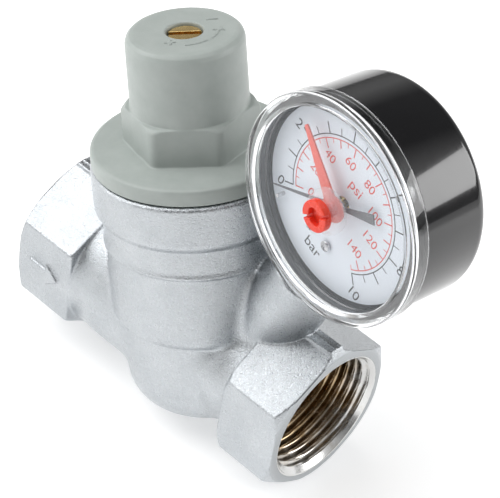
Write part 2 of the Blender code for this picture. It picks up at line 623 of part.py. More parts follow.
def main():
    clear_scene()
    mats = make_materials()
    flow = frame_empty("flow_axis", degrees=(0.0, 90.0, 0.0))
    bonnet = frame_empty("bonnet_axis", (BONNET_SHIFT, 0.0, 0.0), (0.0, -BONNET_LEAN, 0.0))
    stem = frame_empty("gauge_stem_axis", (GAUGE_SHIFT, 0.0, 0.0), (0.0, GAUGE_LEAN, 0.0))
    twist = math.radians(GAUGE_TWIST)
    gauge = frame_empty("gauge_axis",
                        (STEM_DEPTH * math.sin(twist), -STEM_DEPTH * math.cos(twist), GAUGE_RISE),
                        (90.0, 0.0, GAUGE_TWIST), stem)
    make_valve_body(mats, flow, bonnet, stem)
    make_bonnet(mats, bonnet)
    make_adjusting_screw(mats, bonnet)
    make_spring_pack(mats, bonnet)
    make_valve_core(mats, bonnet)
    make_cartridge(mats, bonnet)
    make_gauge_socket(mats, stem, gauge)
    make_gauge_case(mats, stem, gauge)
    make_gauge_lens(mats, gauge)
    make_dial(mats, gauge)
    make_movement(mats, gauge)
    make_pointers(mats, gauge)


main()
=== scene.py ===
"""Looks of the pressure reducing valve: detailed pieces, materials, light and camera.

Lengths in the mesh code are millimetres and become metres when a piece is made.
A field gives the signed distance to a shape, negative inside it.
"""
import json
import math

import bpy
import numpy as np
from mathutils import Matrix, Vector


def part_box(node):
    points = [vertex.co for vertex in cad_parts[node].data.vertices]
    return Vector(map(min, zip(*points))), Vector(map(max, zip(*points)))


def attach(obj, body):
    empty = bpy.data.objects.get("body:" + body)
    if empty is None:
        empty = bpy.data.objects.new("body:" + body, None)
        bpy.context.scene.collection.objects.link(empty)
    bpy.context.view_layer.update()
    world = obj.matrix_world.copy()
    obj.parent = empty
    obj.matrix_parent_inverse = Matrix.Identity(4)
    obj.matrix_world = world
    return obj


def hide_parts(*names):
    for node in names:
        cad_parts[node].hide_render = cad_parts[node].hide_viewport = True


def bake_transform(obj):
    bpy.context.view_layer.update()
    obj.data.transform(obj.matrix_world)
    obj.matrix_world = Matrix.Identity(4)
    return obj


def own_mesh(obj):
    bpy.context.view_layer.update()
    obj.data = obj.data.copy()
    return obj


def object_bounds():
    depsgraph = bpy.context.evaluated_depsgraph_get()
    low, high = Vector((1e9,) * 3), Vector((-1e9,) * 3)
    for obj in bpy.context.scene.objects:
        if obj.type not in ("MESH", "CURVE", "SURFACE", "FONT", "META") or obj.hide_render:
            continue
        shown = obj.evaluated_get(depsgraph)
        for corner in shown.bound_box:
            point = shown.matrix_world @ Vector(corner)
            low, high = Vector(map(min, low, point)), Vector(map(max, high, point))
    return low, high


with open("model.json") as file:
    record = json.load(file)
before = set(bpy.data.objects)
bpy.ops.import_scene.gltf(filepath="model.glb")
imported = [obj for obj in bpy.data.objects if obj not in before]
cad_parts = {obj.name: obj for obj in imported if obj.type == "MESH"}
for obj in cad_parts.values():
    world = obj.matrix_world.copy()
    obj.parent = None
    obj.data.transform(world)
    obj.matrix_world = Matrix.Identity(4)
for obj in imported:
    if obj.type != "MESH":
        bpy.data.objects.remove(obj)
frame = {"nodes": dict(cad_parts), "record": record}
cad_low, cad_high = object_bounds()

MM = 0.001
JOINTS = {j["name"]: j for j in frame["record"]["behaviour"]["joints"]}

# ---- dimensions in millimetres ---------------------------------------------------------
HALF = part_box("valve_body")[1].x / MM      # flow axis, middle to end face
APOTHEM = 14.9                             # end hexagons, middle to flat
HEX_IN = HALF - 14.0                       # where the outlet's hexagon begins
PORT_R = 13.5
THREAD_MINOR, THREAD_MAJOR = 12.06, 13.22  # G 3/4 radii
THREAD_PITCH = 1.814
THREAD_DEPTH = 13.0
SHIFT = 3.25                               # where the bonnet axis crosses the flow axis
BODY_TOP = 37.4                            # rim of the barrel, along the bonnet axis
STEM_X = 13.93                             # where the gauge's stem crosses the flow axis
BOSS_TOP = 33.1                            # end of the gauge boss, along the stem
HEX_LOW, HEX_HIGH = 33.3, 37.9             # the gauge's spanner flats, along the stem
DIAL_Z = -4.0                              # front of the dial, from the gauge's origin
INK = DIAL_Z + 0.012                       # middle of the print
INK_HALF = 0.008
COS_30, COS_45 = 0.8660254, 0.70710678


# ---- frames ----------------------------------------------------------------------------
def basis(origin, x_axis, y_axis, z_axis):
    """Matrix of a frame from its origin and its three axes."""
    rows = [[x_axis[i], y_axis[i], z_axis[i], origin[i]] for i in range(3)]
    return Matrix(rows + [[0.0, 0.0, 0.0, 1.0]])


UP_BONNET = Vector(JOINTS["valve_lift"]["axis"]).normalized()
BONNET = basis((SHIFT, 0.0, 0.0), (UP_BONNET.z, 0.0, -UP_BONNET.x), (0.0, 1.0, 0.0), UP_BONNET)

DIAL_OUT = -Vector(JOINTS["needle_turn"]["axis"]).normalized()
DIAL_UP = Vector((0.0, 1.0, 0.0)).cross(DIAL_OUT).normalized()
DIAL_RIGHT = DIAL_UP.cross(DIAL_OUT)
DIAL_ORIGIN = Vector(JOINTS["setter_turn"]["pos_m"]) / MM
GAUGE = basis(DIAL_ORIGIN, DIAL_RIGHT, DIAL_UP, DIAL_OUT)
STEM = basis((STEM_X, 0.0, 0.0), (DIAL_UP.z, 0.0, -DIAL_UP.x), (0.0, 1.0, 0.0), DIAL_UP)
FLOW = basis((0.0, 0.0, 0.0), (0.0, 0.0, -1.0), (0.0, 1.0, 0.0), (1.0, 0.0, 0.0))


# ---- material tools --------------------------------------------------------------------
class Nodes:
    """Small helper that adds and links shader nodes of one material."""

    def __init__(self, name):
        self.mat = bpy.data.materials.new(name)
        self.mat.use_nodes = True
        self.tree = self.mat.node_tree
        self.shader = self.tree.nodes["Principled BSDF"]

    def add(self, kind, **values):
        node = self.tree.nodes.new(kind)
        for key, value in values.items():
            if key in node.inputs:
                node.inputs[key].default_value = value
            else:
                setattr(node, key, value)
        return node

    def link(self, source, target):
        self.tree.links.new(source, target)

    def position(self):
        return self.add("ShaderNodeTexCoord").outputs["Object"]

    def noise(self, vector, scale, detail=4.0, rough=0.6):
        node = self.add("ShaderNodeTexNoise")
        node.inputs["Scale"].default_value = scale
        node.inputs["Detail"].default_value = detail
        node.inputs["Roughness"].default_value = rough
        self.link(vector, node.inputs["Vector"])
        return node.outputs["Fac"]

    def ramp(self, value, low, high, from_low=0.3, from_high=0.7):
        node = self.add("ShaderNodeMapRange")
        node.inputs["From Min"].default_value = from_low
        node.inputs["From Max"].default_value = from_high
        node.inputs["To Min"].default_value = low
        node.inputs["To Max"].default_value = high
        self.link(value, node.inputs["Value"])
        return node.outputs["Result"]

    def mix(self, factor, first, second):
        node = self.add("ShaderNodeMix", data_type="RGBA")
        for socket, colour in ((node.inputs[6], first), (node.inputs[7], second)):
            if isinstance(colour, tuple):
                socket.default_value = (*colour, 1.0)
            else:
                self.link(colour, socket)
        if isinstance(factor, float):
            node.inputs[0].default_value = factor
        else:
            self.link(factor, node.inputs[0])
        return node.outputs[2]

    def math(self, operation, first, second=None):
        node = self.add("ShaderNodeMath", operation=operation)
        for socket, value in zip(node.inputs, (first, second)):
            if isinstance(value, float):
                socket.default_value = value
            elif value is not None:
                self.link(value, socket)
        return node.outputs[0]

    def split(self, vector):
        node = self.add("ShaderNodeSeparateXYZ")
        self.link(vector, node.inputs[0])
        return node.outputs

    def bump(self, height, strength, distance):
        node = self.add("ShaderNodeBump")
        node.inputs["Strength"].default_value = strength
        node.inputs["Distance"].default_value = distance
        self.link(height, node.inputs["Height"])
        self.link(node.outputs["Normal"], self.shader.inputs["Normal"])


def grained(name, dark, light, rough, metallic, scale, bump, distance, extra=None):
    """A material whose colour, roughness and surface vary with a fine noise."""
    n = Nodes(name)
    at = n.position()
    coarse = n.noise(at, scale * 0.12, 3.0)
    fine = n.noise(at, scale, 4.0)
    n.link(n.mix(n.ramp(coarse, 0.0, 1.0), dark, light), n.shader.inputs["Base Color"])
    n.link(n.ramp(fine, rough[0], rough[1]), n.shader.inputs["Roughness"])
    n.shader.inputs["Metallic"].default_value = metallic
    if bump > 0.0:
        n.bump(fine, bump, distance)
    for key, value in (extra or {}).items():
        n.shader.inputs[key].default_value = value
    n.mat.diffuse_color = (*light, 1.0)
    return n.mat


def body_material():
    """Blasted and chromed forging: fine grain, turned end faces whose darker colour is painted shade,
    raw brass inside the ports.
    """
    n = Nodes("satin_chrome")
    at = n.position()
    grain = n.noise(at, 3400.0, 2.0, 0.7)
    waves = n.noise(at, 160.0, 3.0, 0.5)
    parts = n.split(at)
    along = n.math("ABSOLUTE", parts["X"])
    flat = n.add("ShaderNodeCombineXYZ")
    n.link(parts["Y"], flat.inputs["Y"])
    n.link(parts["Z"], flat.inputs["Z"])
    radius = n.add("ShaderNodeVectorMath", operation="LENGTH")
    n.link(flat.outputs[0], radius.inputs[0])
    end_face = n.ramp(along, 0.0, 1.0, (HALF - 0.35) * MM, (HALF - 0.2) * MM)
    in_bore = n.ramp(radius.outputs["Value"], 1.0, 0.0, 0.0136, 0.0138)
    behind_mouth = n.ramp(along, 1.0, 0.0, (HALF - 3.0) * MM, (HALF - 1.0) * MM)
    in_port = n.ramp(along, 0.0, 1.0, 0.0217, 0.0220)
    raw = n.math("MULTIPLY", n.math("MULTIPLY", in_bore, behind_mouth), in_port)
    chrome = n.mix(n.ramp(waves, 0.0, 1.0), (0.490, 0.515, 0.538), (0.545, 0.568, 0.590))
    colour = n.mix(raw, chrome, (0.36, 0.26, 0.15))
    # End faces: a smoother turned finish (real roughness), and a darker base colour that is painted
    # shade, not a property of the metal.
    colour = n.mix(end_face, colour, (0.42, 0.44, 0.455))
    n.link(colour, n.shader.inputs["Base Color"])
    n.shader.inputs["Metallic"].default_value = 1.0
    rough = n.add("ShaderNodeMix", data_type="FLOAT")
    n.link(end_face, rough.inputs[0])
    n.link(n.ramp(grain, 0.22, 0.36), rough.inputs[2])
    rough.inputs[3].default_value = 0.27
    n.link(rough.outputs[0], n.shader.inputs["Roughness"])
    n.bump(n.math("MULTIPLY", grain, n.math("SUBTRACT", 1.0, end_face)), 0.8, 0.00018)
    n.mat.diffuse_color = (0.75, 0.76, 0.78, 1.0)
    return n.mat


def thread_material():
    """Chromed near the mouth and raw brass deeper in."""
    n = Nodes("thread_chrome_to_brass")
    at = n.position()
    stain = n.noise(at, 260.0, 4.0)
    place = n.math("ADD", n.math("ABSOLUTE", n.split(at)["X"]), n.ramp(stain, -0.0022, 0.0022))
    deep = n.ramp(place, 1.0, 0.0, (HALF - 7.5) * MM, (HALF - 1.5) * MM)
    brass = n.mix(n.ramp(stain, 0.0, 1.0), (0.33, 0.23, 0.12), (0.62, 0.49, 0.33))
    n.link(n.mix(deep, (0.74, 0.74, 0.73), brass), n.shader.inputs["Base Color"])
    n.shader.inputs["Metallic"].default_value = 1.0
    n.link(n.ramp(stain, 0.16, 0.30), n.shader.inputs["Roughness"])
    n.mat.diffuse_color = (0.6, 0.5, 0.35, 1.0)
    return n.mat


def clear_material(name, tint, rough, alpha):
    """Clear plastic: thick when alpha is 1, and a thin see-through film below that."""
    n = Nodes(name)
    at = n.position()
    n.link(n.ramp(n.noise(at, 300.0), rough, rough + 0.03), n.shader.inputs["Roughness"])
    n.shader.inputs["Base Color"].default_value = (*tint, 1.0)
    n.shader.inputs["IOR"].default_value = 1.49
    if alpha < 1.0:
        n.shader.inputs["Alpha"].default_value = alpha
    else:
        n.shader.inputs["Transmission Weight"].default_value = 1.0
    n.mat.diffuse_color = (*tint, 0.4)
    return n.mat


MATS = {
    "nickel": body_material(),
    "thread": thread_material(),
    "brass": grained("machined_brass", (0.60, 0.40, 0.14), (0.86, 0.64, 0.28), (0.18, 0.34), 1.0,
                     1400.0, 0.15, 0.00005),
    "steel": grained("steel", (0.48, 0.48, 0.49), (0.66, 0.66, 0.67), (0.22, 0.36), 1.0,
                     1400.0, 0.12, 0.00005),
    "grey": grained("grey_green_plastic", (0.385, 0.425, 0.403), (0.425, 0.465, 0.443),
                    (0.36, 0.48), 0.0, 2200.0, 0.22, 0.00006),
    "white": grained("white_plastic", (0.74, 0.74, 0.72), (0.82, 0.82, 0.80), (0.35, 0.5), 0.0,
                     1500.0, 0.1, 0.00005),
    "black": grained("gloss_black", (0.008, 0.008, 0.009), (0.014, 0.014, 0.015), (0.10, 0.16),
                     0.0, 300.0, 0.02, 0.00003, {"Coat Weight": 0.6, "Coat Roughness": 0.03}),
    "dial": grained("dial_white", (0.80, 0.85, 0.92), (0.84, 0.89, 0.95), (0.40, 0.5), 0.0,
                    500.0, 0.02, 0.00002),
    "print_black": grained("print_black", (0.02, 0.02, 0.022), (0.04, 0.04, 0.045), (0.4, 0.5),
                           0.0, 900.0, 0.0, 0.0),
    "print_red": grained("print_red", (0.72, 0.06, 0.045), (0.80, 0.09, 0.06), (0.4, 0.5), 0.0,
                         900.0, 0.0, 0.0),
    "red": grained("red_plastic", (0.82, 0.045, 0.02), (0.90, 0.07, 0.03), (0.22, 0.32), 0.0,
                   700.0, 0.05, 0.00003),
    "red_thin": grained("red_pointer_paint", (0.85, 0.13, 0.09), (0.90, 0.17, 0.12),
                        (0.35, 0.45), 0.0, 700.0, 0.03, 0.00002),
    "needle": grained("needle_grey", (0.10, 0.10, 0.11), (0.15, 0.15, 0.16), (0.30, 0.42), 0.2,
                      900.0, 0.04, 0.00002),
    "rubber": grained("rubber", (0.014, 0.014, 0.014), (0.03, 0.03, 0.03), (0.6, 0.8), 0.0,
                      1200.0, 0.2, 0.00006),
    "clear": clear_material("clear_rim", (0.97, 0.98, 0.99), 0.04, 1.0),
    "collar": clear_material("clear_collar", (0.90, 0.93, 0.96), 0.04, 0.22),
    "lens_front": clear_material("clear_front", (0.90, 0.95, 1.0), 0.03, 0.07),
}
SLOT_OF = {s["node"]: s["material_slot"] for s in frame["record"]["subparts"]}


# ---- mesh tools ------------------------------------------------------------------------
def volume(verts, faces):
    """Six times the volume, negative when the faces point inwards."""
    total = 0.0
    for f in faces:
        for k in range(1, len(f) - 1):
            total += float(np.dot(verts[f[0]], np.cross(verts[f[k]], verts[f[k + 1]])))
    return total


def make_piece(name, verts, faces, matrix, mat, body, nodes=(), normals=None, sharp=35.0):
    """One mesh object in the row frame, on its body and standing for its CAD nodes.
    """
    verts = np.asarray(verts, float)
    if normals is None and volume(verts, faces) < 0.0:
        faces = [tuple(reversed(f)) for f in faces]
    turn = np.array(matrix.to_3x3(), float)
    placed = (verts @ turn.T + np.array(matrix.translation, float)) * MM
    mesh = bpy.data.meshes.new(name)
    mesh.from_pydata(placed.tolist(), [], [list(map(int, f)) for f in faces])
    mesh.validate()
    mesh.update()
    mesh.shade_smooth()
    if normals is None:
        mesh.set_sharp_from_angle(angle=math.radians(sharp))
    else:
        mesh.normals_split_custom_set_from_vertices((normals @ turn.T).tolist())
    mesh.materials.append(mat)
    obj = bpy.data.objects.new(name, mesh)
    bpy.context.scene.collection.objects.link(obj)
    if body:
        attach(obj, body)
    if nodes:
        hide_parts(*nodes)
    return obj


def filleted(points, radii, count):
    """Round the corners of a (radius, height) polyline. Radii has one value per point."""
    out = []
    total = len(points)
    for k, (point, radius) in enumerate(zip(points, radii)):
        if radius <= 0.0 or k in (0, total - 1):
            out.append(tuple(point))
            continue
        here = np.array(point, float)
        before = np.array(points[k - 1], float) - here
        after = np.array(points[k + 1], float) - here
        la, lb = np.linalg.norm(before), np.linalg.norm(after)
        ua, ub = before / la, after / lb
        cosine = float(np.clip(ua @ ub, -0.9999, 0.9999))
        half = math.acos(cosine) / 2.0
        cut = min(radius / math.tan(half), 0.48 * la, 0.48 * lb)
        start, end = here + ua * cut, here + ub * cut
        for i in range(count + 1):
            t = i / count
            p = (1 - t) ** 2 * start + 2 * t * (1 - t) * here + t * t * end
            out.append((float(p[0]), float(p[1])))
    return out


def lathe(profile, steps, closed):
    """Vertices and faces of a turned shape about Z."""
    verts, faces, rings = [], [], []
    for radius, height in profile:
        if radius <= 1e-9:
            rings.append([len(verts)])
            verts.append((0.0, 0.0, height))
            continue
        start = len(verts)
        for k in range(steps):
            a = 2.0 * math.pi * k / steps
            verts.append((radius * math.cos(a), radius * math.sin(a), height))
        rings.append(list(range(start, start + steps)))
    pairs = list(zip(rings, rings[1:]))
    if closed:
        pairs.append((rings[-1], rings[0]))
    for low, high in pairs:
        for k in range(steps):
            n = (k + 1) % steps
            if len(low) == 1 and len(high) == 1:
                break
            if len(low) == 1:
                faces.append((low[0], high[n], high[k]))
            elif len(high) == 1:
                faces.append((low[k], low[n], high[0]))
            else:
                faces.append((low[k], low[n], high[n], high[k]))
    return np.array(verts), faces


def turned(profile, radii, count, steps, closed=True):
    """A lathe shape with rounded profile corners. A closed one is a ring."""
    return lathe(filleted(profile, radii, count), steps, closed)


def prism(outline, low, high):
    """Vertices and faces of a flat outline made solid between two heights."""
    n = len(outline)
    verts = [(x, y, low) for x, y in outline] + [(x, y, high) for x, y in outline]
    faces = [tuple(reversed(range(n))), tuple(range(n, 2 * n))]
    for k in range(n):
        m = (k + 1) % n
        faces.append((k, m, n + m, n + k))
    return np.array(verts), faces


def joined(parts):
    """Several (vertices, faces) pairs as one."""
    verts, faces, base = [], [], 0
    for v, f in parts:
        verts.append(np.asarray(v, float))
        faces += [tuple(i + base for i in face) for face in f]
        base += len(v)
    return np.concatenate(verts), faces


# ---- distance fields -------------------------------------------------------------------
def smin(a, b, k):
    """Union of two fields with a fillet of about k."""
    h = np.clip(0.5 + 0.5 * (b - a) / k, 0.0, 1.0)
    return b + (a - b) * h - k * h * (1.0 - h)


def smax(a, b, k):
    """Intersection of two fields with a rounded edge of about k."""
    return -smin(-a, -b, k)


def slab(value, low, high):
    return np.maximum(low - value, value - high)


def hexagon(across, along, apothem, soft):
    """Six flats about an axis, two of them facing along the first coordinate."""
    across, along = np.abs(across), np.abs(along)
    return smax(across, 0.5 * across + COS_30 * along, soft) - apothem


def spun(x, y, degrees):
    """Coordinates in a frame turned about Z."""
    turn = math.radians(degrees)
    return x * math.cos(turn) + y * math.sin(turn), -x * math.sin(turn) + y * math.cos(turn)


def profile_field(polygon, blur, r_low=-2.0, r_high=26.0, h_low=-22.0, h_high=68.0, cell=0.1):
    """A lookup of the distance to a closed (radius, height) polygon, slightly blurred."""
    rs = np.arange(r_low, r_high, cell)
    hs = np.arange(h_low, h_high, cell)
    r, h = np.meshgrid(rs, hs, indexing="ij")
    best = np.full(r.shape, 1e9)
    sign = np.ones(r.shape)
    for k, (ax, ay) in enumerate(polygon):
        bx, by = polygon[k - 1]
        ex, ey = bx - ax, by - ay
        wx, wy = np.abs(r) - ax, h - ay
        t = np.clip((wx * ex + wy * ey) / (ex * ex + ey * ey + 1e-12), 0.0, 1.0)
        best = np.minimum(best, (wx - ex * t) ** 2 + (wy - ey * t) ** 2)
        c1, c2, c3 = h >= ay, h < by, ex * wy > ey * wx
        flip = (c1 & c2 & c3) | (~c1 & ~c2 & ~c3)
        sign = np.where(flip, -sign, sign)
    field = sign * np.sqrt(best)
    reach = int(3.0 * blur / cell)
    weights = np.exp(-0.5 * (np.arange(-reach, reach + 1) * cell / blur) ** 2)
    weights /= weights.sum()
    for axis in (0, 1):
        padded = np.pad(field, [(reach, reach) if a == axis else (0, 0) for a in (0, 1)], "edge")
        total = np.zeros_like(field)
        for i, w in enumerate(weights):
            sl = [slice(None), slice(None)]
            sl[axis] = slice(i, i + field.shape[axis])
            total += w * padded[tuple(sl)]
        field = total

    def look(radius, height):
        fr = np.clip((radius - r_low) / cell, 0.0, len(rs) - 1.001)
        fh = np.clip((height - h_low) / cell, 0.0, len(hs) - 1.001)
        i, j = fr.astype(int), fh.astype(int)
        a, b = fr - i, fh - j
        return ((1 - a) * (1 - b) * field[i, j] + a * (1 - b) * field[i + 1, j]
                + (1 - a) * b * field[i, j + 1] + a * b * field[i + 1, j + 1])

    return look


def surface(field, low, high, cell):
    """Mesh of field = 0 with one vertex per crossed cell, and normals from the gradient."""
    axes = [np.arange(a - 1.5 * cell, b + 2.0 * cell, cell) for a, b in zip(low, high)]
    shape = tuple(len(a) for a in axes)
    values = np.empty(shape, np.float32)
    for i0 in range(0, shape[0], 16):
        i1 = min(shape[0], i0 + 16)
        x, y, z = np.meshgrid(axes[0][i0:i1], axes[1], axes[2], indexing="ij")
        values[i0:i1] = field(x, y, z)
    inside = values < 0.0
    cells = tuple(s - 1 for s in shape)
    count = np.zeros(cells, np.int8)
    corners = [(a, b, c) for a in (0, 1) for b in (0, 1) for c in (0, 1)]
    for a, b, c in corners:
        count += inside[a:a + cells[0], b:b + cells[1], c:c + cells[2]]
    active = (count > 0) & (count < 8)
    index = np.argwhere(active)
    corner = np.array(corners)
    at = index[:, None, :] + corner[None]
    v = values[at[..., 0], at[..., 1], at[..., 2]].astype(float)
    total = np.zeros((len(index), 3))
    hits = np.zeros(len(index))
    for a in range(8):
        for b in range(a + 1, 8):
            if np.abs(corner[a] - corner[b]).sum() != 1:
                continue
            cross = (v[:, a] < 0.0) != (v[:, b] < 0.0)
            t = v[:, a] / np.where(cross, v[:, a] - v[:, b], 1.0)
            total += np.where(cross[:, None], corner[a] + t[:, None] * (corner[b] - corner[a]), 0.0)
            hits += cross
    start = np.array([a[0] for a in axes])
    points = start + (index + total / hits[:, None]) * cell
    number = np.full(cells, -1, np.int64)
    number[tuple(index.T)] = np.arange(len(index))
    quads = []
    for axis in range(3):
        p, q = (axis + 1) % 3, (axis + 2) % 3
        first = [slice(1, cells[d]) for d in range(3)]
        second = [slice(1, cells[d]) for d in range(3)]
        first[axis] = slice(0, cells[axis])
        second[axis] = slice(1, cells[axis] + 1)
        a, b = inside[tuple(first)], inside[tuple(second)]
        where = np.argwhere(a != b)
        outward = a[tuple(where.T)]
        base = where + np.array([0 if d == axis else 1 for d in range(3)])
        ring = []
        for dp, dq in ((-1, -1), (0, -1), (0, 0), (-1, 0)):
            cell_at = base.copy()
            cell_at[:, p] += dp
            cell_at[:, q] += dq
            ring.append(number[tuple(cell_at.T)])
        ring = np.stack(ring, 1)
        ring[~outward] = ring[~outward][:, ::-1]
        quads.append(ring)
    quads = np.concatenate(quads)
    quads = quads[(quads >= 0).all(1)]
    e = 0.04
    for _ in range(2):                     # two steps pull the points onto the surface
        x, y, z = points.T
        grad = np.stack([field(x + e, y, z) - field(x - e, y, z),
                         field(x, y + e, z) - field(x, y - e, z),
                         field(x, y, z + e) - field(x, y, z - e)], 1) / (2 * e)
        size = np.maximum((grad ** 2).sum(1), 0.05)
        step = np.clip(field(x, y, z) / size, -0.4 * cell, 0.4 * cell)
        points = points - grad * step[:, None]
    normals = grad / np.maximum(np.linalg.norm(grad, axis=1), 1e-6)[:, None]
    return points, quads, normals


# ---- valve body ------------------------------------------------------------------------
SIN_B, COS_B = -UP_BONNET.x, UP_BONNET.z
SIN_G, COS_G = DIAL_UP.x, DIAL_UP.z


def bowl(corner=7.8, radius=16.05, centre=-7.0):
    """Profile of the body's rounded bottom, from the axis outwards."""
    points = [(0.0, centre - corner)]
    for k in range(17):
        a = math.radians(-90.0 + 90.0 * k / 16)
        points.append((radius - corner + corner * math.cos(a), centre + corner * math.sin(a)))
    return points


trunk_profile = profile_field(bowl() + [
    (16.15, 5.0), (17.3, 5.9), (17.75, 6.9), (17.75, 21.2), (18.4, 21.6), (18.1, 22.6),
    (18.05, 27.4), (19.1, 28.5), (19.4, 29.2), (19.4, 36.9), (18.9, BODY_TOP),
    (0.0, BODY_TOP)], 0.22)
bore_profile = profile_field([
    (0.0, -12.5), (10.7, -12.5), (12.2, -11.0), (12.2, 10.2), (14.2, 10.2), (14.2, 30.5),
    (16.6, 30.5), (16.6, 41.0), (0.0, 41.0)], 0.1)


def arrow_field(x, y, z):
    """Raised arrow on the inlet's front flat, pointing with the flow."""
    cx, cz = x + 27.7, z + 0.2
    shaft = np.maximum(np.abs(cx + 1.3) - 2.6, np.abs(cz) - 0.95)
    head = np.maximum(-(cx - 0.7), np.abs(cz) * 0.78 + (cx - 0.7) * 0.62 - 2.05)
    return smax(np.minimum(shaft, head), slab(y, -APOTHEM - 0.38, 1.0 - APOTHEM), 0.12)


def end_hexagon(x, y, z):
    """Both end hexagons, chamfered at both ends, with a narrow land on the top and bottom corners."""
    ax, ay, az = np.abs(x), np.abs(y), np.abs(z)
    rx = np.sqrt(y * y + z * z)
    across = hexagon(y, z, APOTHEM, 0.3)
    inner = np.where(x < 0.0, HEX_IN - 0.7, HEX_IN)
    slope = 10.6 / 6.2
    front = (rx - 15.01 + (ax - HALF) * slope) / math.sqrt(1.0 + slope * slope)
    rear = (rx - np.where(x < 0.0, 16.9, 15.8) + (inner - ax) * 1.2) / math.sqrt(1.0 + 1.44)
    solid = smax(smax(smax(across, front, 0.15), rear, 0.4), inner - ax, 0.4)
    land = np.maximum(np.maximum(ay - 1.75, az - 16.95), inner + 0.3 - ax)
    land = smax(land, front, 0.15)
    solid = smin(solid, np.maximum(land, 12.0 - az), 0.12)
    return smax(solid, ax - HALF, 0.22)


def body_field(x, y, z):
    """Barrel and bowl, two necks, gauge boss, end hexagons and arrow, less the hollows."""
    ax, rx = np.abs(x), np.sqrt(y * y + z * z)                 # along and off the flow axis
    u = (x - SHIFT) * COS_B + z * SIN_B
    h = -(x - SHIFT) * SIN_B + z * COS_B                       # along the bonnet axis
    r = np.sqrt(u * u + y * y)
    t = (x - STEM_X) * SIN_G + z * COS_G                       # along the gauge's stem
    w = (x - STEM_X) * COS_G - z * SIN_G
    rb = np.sqrt(w * w + y * y)
    waist = np.where(x < 0.0, 14.9, 13.3) - 0.3 * np.exp(-((ax - 18.8) / 2.2) ** 2)
    neck = np.maximum(rx - waist + 0.3 * np.maximum(ax - HEX_IN, 0.0), ax - 30.0)
    flare = np.clip((t - 8.0) / 14.0, 0.0, 1.0)
    boss = smax(rb - (6.75 + 0.75 * flare), t - BOSS_TOP, 0.8)
    boss = np.maximum(boss, 3.0 - t)
    solid = smin(trunk_profile(r, h), neck, 1.2)
    solid = smin(solid, boss, 2.0)
    solid = smin(solid, end_hexagon(x, y, z), 0.6)
    solid = smin(solid, arrow_field(x, y, z), 0.3)
    port = np.maximum(rx - PORT_R, HALF - THREAD_DEPTH - ax)
    inlet = np.maximum(rx - 7.5, slab(x, -23.3, -5.0))
    ts = (x - 9.5) * COS_45 - (z - 16.5) * COS_45              # slanted way to the outlet
    ws = (x - 9.5) * COS_45 + (z - 16.5) * COS_45
    passage = np.maximum(np.sqrt(ws * ws + y * y) - 4.6, slab(ts, -1.0, 18.5))
    gauge_hole = np.maximum(rb - 4.4, 14.6 - t)
    solid = smax(solid, -port, 0.12)
    for hollow in (bore_profile(r, h), inlet, passage, gauge_hole):
        solid = np.maximum(solid, -hollow)
    return solid


BODY_CELL = 0.36
points, quads, normals = surface(body_field, (-HALF, -19.4, -17.6), (HALF, 19.4, 42.2),
                                 BODY_CELL)
make_piece("body_forging", points, quads, Matrix.Identity(4), MATS["nickel"], "housing",
           ["valve_body"], normals)


def thread_ring(side):
    """Internal pipe thread: a helical ridge that fades at the mouth chamfer."""
    steps = 144
    rows = int(THREAD_DEPTH / THREAD_PITCH * 12)
    verts, faces = [], []
    for i in range(rows + 1):
        back = 0.03 + (THREAD_DEPTH - 0.05) * i / rows
        for k in range(steps):
            a = 2.0 * math.pi * k / steps
            phase = (back / THREAD_PITCH + side * k / steps) % 1.0
            tri = abs(2.0 * phase - 1.0)
            wave = min(1.0, max(0.0, (tri - 0.10) / 0.80))
            radius = THREAD_MINOR + (THREAD_MAJOR - THREAD_MINOR) * wave
            radius = max(radius, PORT_R - 0.02 - back)
            if back > 11.0:
                radius = min(radius, THREAD_MAJOR - 0.4 * (back - 11.0))
            verts.append((radius * math.cos(a), radius * math.sin(a), side * (HALF - back)))
    outer = len(verts)
    for back in (0.03, THREAD_DEPTH - 0.02):
        for k in range(steps):
            a = 2.0 * math.pi * k / steps
            verts.append((13.62 * math.cos(a), 13.62 * math.sin(a), side * (HALF - back)))
    loops = [outer] + [i * steps for i in range(rows + 1)] + [outer + steps, outer]
    for first, second in zip(loops, loops[1:]):
        for k in range(steps):
            n = (k + 1) % steps
            quad = (first + k, first + n, second + n, second + k)
            faces.append(quad if side > 0 else quad[::-1])
    return np.array(verts), faces


for side, name in ((-1, "inlet_thread"), (1, "outlet_thread")):
    verts, faces = thread_ring(side)
    make_piece(name, verts, faces, FLOW, MATS["thread"], "housing", sharp=60.0)

# ---- bonnet ----------------------------------------------------------------------------
bonnet_outer = profile_field([
    (0.0, 30.0), (16.3, 30.0), (16.3, 37.7), (19.0, 37.7), (19.15, 37.9), (19.15, 40.2),
    (18.95, 40.7), (18.4, 40.95), (11.2, 41.25), (11.05, 43.0), (10.9, 61.6), (10.6, 62.45),
    (10.05, 63.0), (9.3, 63.2), (0.0, 63.2)], 0.10)
bonnet_inner = profile_field([
    (0.0, 20.0), (13.2, 20.0), (13.2, 39.0), (9.3, 41.5), (9.3, 55.0), (7.5, 57.0),
    (3.4, 57.0), (3.4, 62.9), (3.65, 63.3), (3.65, 66.0), (0.0, 66.0)], 0.06)


MARK_R, MARK_HALF = 6.2, 0.27              # turn arrow on the cap, and half its line width
MARK_COS, MARK_SIN = 0.66, 0.75            # how the plus and minus lie


